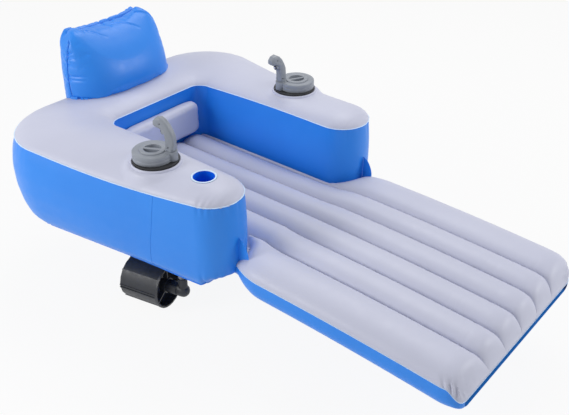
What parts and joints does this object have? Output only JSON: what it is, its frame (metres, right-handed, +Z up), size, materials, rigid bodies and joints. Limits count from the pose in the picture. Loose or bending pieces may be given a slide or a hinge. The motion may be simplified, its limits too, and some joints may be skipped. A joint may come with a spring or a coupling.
{
  "type": "motorized pool float",
  "caption": "U-shaped inflatable pool lounger with a ribbed leg mat, headrest, cup holder and a steerable battery propeller drive in each arm.",
  "frame": {"origin": "on the plane of the air chamber's flat underside, midway between the arms, on the line through the centres of the rounded arm ends; the mount water_support", "axes": "+Z up, +Y from the foot of the mat towards the backrest, +X towards the seated user's left arm"},
  "size_m": [1.2034, 1.9748, 0.9053],
  "materials": {
    "blue_vinyl": "satin calendered vinyl film",
    "pearl_vinyl": "satin pearlescent vinyl film",
    "grey_plastic": "fine-grained moulding",
    "black_plastic": "smooth moulding",
    "black_rubber": "moulded",
    "clear_vinyl": "smooth, slightly cloudy",
    "steel": "turned",
    "brass": "sintered",
    "cell_wrap": "plain dark wrap"
  },
  "bodies": {
    "float": {"ring_chamber": "blue_vinyl", "ring_top_panel": "pearl_vinyl", "headrest_pillow": "blue_vinyl", "lumbar_pad": "pearl_vinyl", "mat_base": "blue_vinyl", "mat_top_panel": "pearl_vinyl", "cup_holder": "blue_vinyl", "ring_valve": "clear_vinyl", "mat_valve": "clear_vinyl", "headrest_valve": "clear_vinyl", "right_mat_flap": "blue_vinyl", "right_port_sleeve": "pearl_vinyl", "right_port_gasket": "black_rubber", "right_housing": "grey_plastic", "right_battery_case": "black_plastic", "right_battery_carrier": "cell_wrap", "right_drive_tube": "grey_plastic", "right_upper_bush": "brass", "right_lower_bush": "brass", "left_mat_flap": "blue_vinyl", "left_port_sleeve": "pearl_vinyl", "left_port_gasket": "black_rubber", "left_housing": "grey_plastic", "left_battery_case": "black_plastic", "left_battery_carrier": "cell_wrap", "left_drive_tube": "grey_plastic", "left_upper_bush": "brass", "left_lower_bush": "brass"},
    "right_steering": {"right_steering_shaft": "steel", "right_handle_outer_half": "grey_plastic", "right_handle_inner_half": "grey_plastic", "right_trigger_switch": "black_plastic", "right_pod_head": "black_plastic", "right_motor_pod": "black_plastic", "right_motor": "steel", "right_shroud": "black_plastic"},
    "right_trigger": {"right_trigger_button": "black_plastic"},
    "right_drive": {"right_drive_shaft": "steel", "right_propeller": "black_plastic", "right_propeller_nut": "black_plastic"},
    "right_seal": {"right_cap_seal": "black_rubber"},
    "right_cap": {"right_battery_cap": "grey_plastic"},
    "left_steering": {"left_steering_shaft": "steel", "left_handle_outer_half": "grey_plastic", "left_handle_inner_half": "grey_plastic", "left_trigger_switch": "black_plastic", "left_pod_head": "black_plastic", "left_motor_pod": "black_plastic", "left_motor": "steel", "left_shroud": "black_plastic"},
    "left_trigger": {"left_trigger_button": "black_plastic"},
    "left_drive": {"left_drive_shaft": "steel", "left_propeller": "black_plastic", "left_propeller_nut": "black_plastic"},
    "left_seal": {"left_cap_seal": "black_rubber"},
    "left_cap": {"left_battery_cap": "grey_plastic"},
    "ring_valve_cap": {"ring_valve_cap": "clear_vinyl"},
    "mat_valve_cap": {"mat_valve_cap": "clear_vinyl"},
    "headrest_valve_cap": {"headrest_valve_cap": "clear_vinyl"}
  },
  "joints": [
    {"name": "right_steer", "type": "hinge", "parent": "float", "child": "right_steering", "pos_m": [-0.36031, 0.1884, 0.39], "axis": [0, 0, 1], "range_deg": [-162, 138]},
    {"name": "right_trigger_press", "type": "slide", "parent": "right_steering", "child": "right_trigger", "axis": [0.2079, -0.9781, 0], "range_m": [0, 0.003], "stiffness_N_per_m": 400, "springref_m": -0.002},
    {"name": "right_propeller_spin", "type": "hinge", "parent": "right_steering", "child": "right_drive", "pos_m": [-0.38734, 0.31556, -0.175], "axis": [-0.2079, 0.9781, 0], "continuous": true},
    {"name": "right_cap_lift", "type": "slide", "parent": "float", "child": "right_seal", "axis": [0, 0, 1], "range_m": [0, 0.045]},
    {"name": "right_cap_turn", "type": "hinge", "parent": "right_seal", "child": "right_cap", "pos_m": [-0.392, 0.248, 0.39], "axis": [0, 0, 1], "range_deg": [0, 90]},
    {"name": "left_steer", "type": "hinge", "parent": "float", "child": "left_steering", "pos_m": [0.3324, 0.27969, 0.39], "axis": [0, 0, 1], "range_deg": [-234, 66]},
    {"name": "left_trigger_press", "type": "slide", "parent": "left_steering", "child": "left_trigger", "axis": [0.9945, -0.1045, 0], "range_m": [0, 0.003], "stiffness_N_per_m": 400, "springref_m": -0.002},
    {"name": "left_propeller_spin", "type": "hinge", "parent": "left_steering", "child": "left_drive", "pos_m": [0.20311, 0.29328, -0.175], "axis": [-0.9945, 0.1045, 0], "continuous": true},
    {"name": "left_cap_lift", "type": "slide", "parent": "float", "child": "left_seal", "axis": [0, 0, 1], "range_m": [0, 0.045]},
    {"name": "left_cap_turn", "type": "hinge", "parent": "left_seal", "child": "left_cap", "pos_m": [0.392, 0.248, 0.39], "axis": [0, 0, 1], "range_deg": [0, 90]},
    {"name": "ring_valve_cap_pull", "type": "slide", "parent": "float", "child": "ring_valve_cap", "axis": [0, 1, 0], "range_m": [0, 0.012]},
    {"name": "mat_valve_cap_pull", "type": "slide", "parent": "float", "child": "mat_valve_cap", "axis": [1, 0, 0], "range_m": [0, 0.012]},
    {"name": "headrest_valve_cap_pull", "type": "slide", "parent": "float", "child": "headrest_valve_cap", "axis": [0, 0.9994, -0.0349], "range_m": [0, 0.012]}
  ]
}
